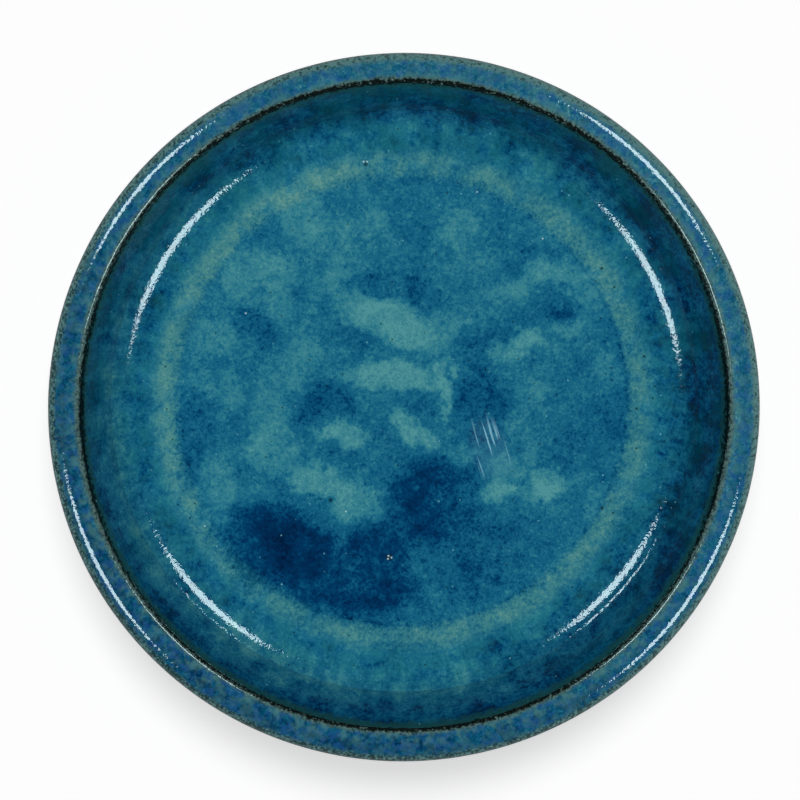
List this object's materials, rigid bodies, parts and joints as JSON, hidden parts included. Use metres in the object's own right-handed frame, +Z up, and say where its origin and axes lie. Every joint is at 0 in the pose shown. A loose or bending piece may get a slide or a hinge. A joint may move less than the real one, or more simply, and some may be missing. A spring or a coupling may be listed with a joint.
{
  "type": "plant saucer",
  "caption": "Round glazed stoneware plant saucer with a leaning wall, a thick flat rim with a bare clay inner edge, and a turned foot ring; catches water under a pot.",
  "frame": {"origin": "centre of the foot ring on the surface that the saucer stands on", "axes": "+Z up along the turning axis, out of the well; X and Y are free because the saucer is round"},
  "size_m": [0.165, 0.165, 0.025],
  "materials": {
    "stoneware": "bare fired clay, matt, speckled with grog and iron",
    "well_glaze": "glossy mottled blue-green glaze, dark where it pools",
    "outer_glaze": "glossy mottled blue glaze that breaks to brown at its edges"
  },
  "bodies": {
    "root": {"stoneware_body": "stoneware", "well_glaze": "well_glaze", "outer_glaze": "outer_glaze"}
  },
  "joints": []
}
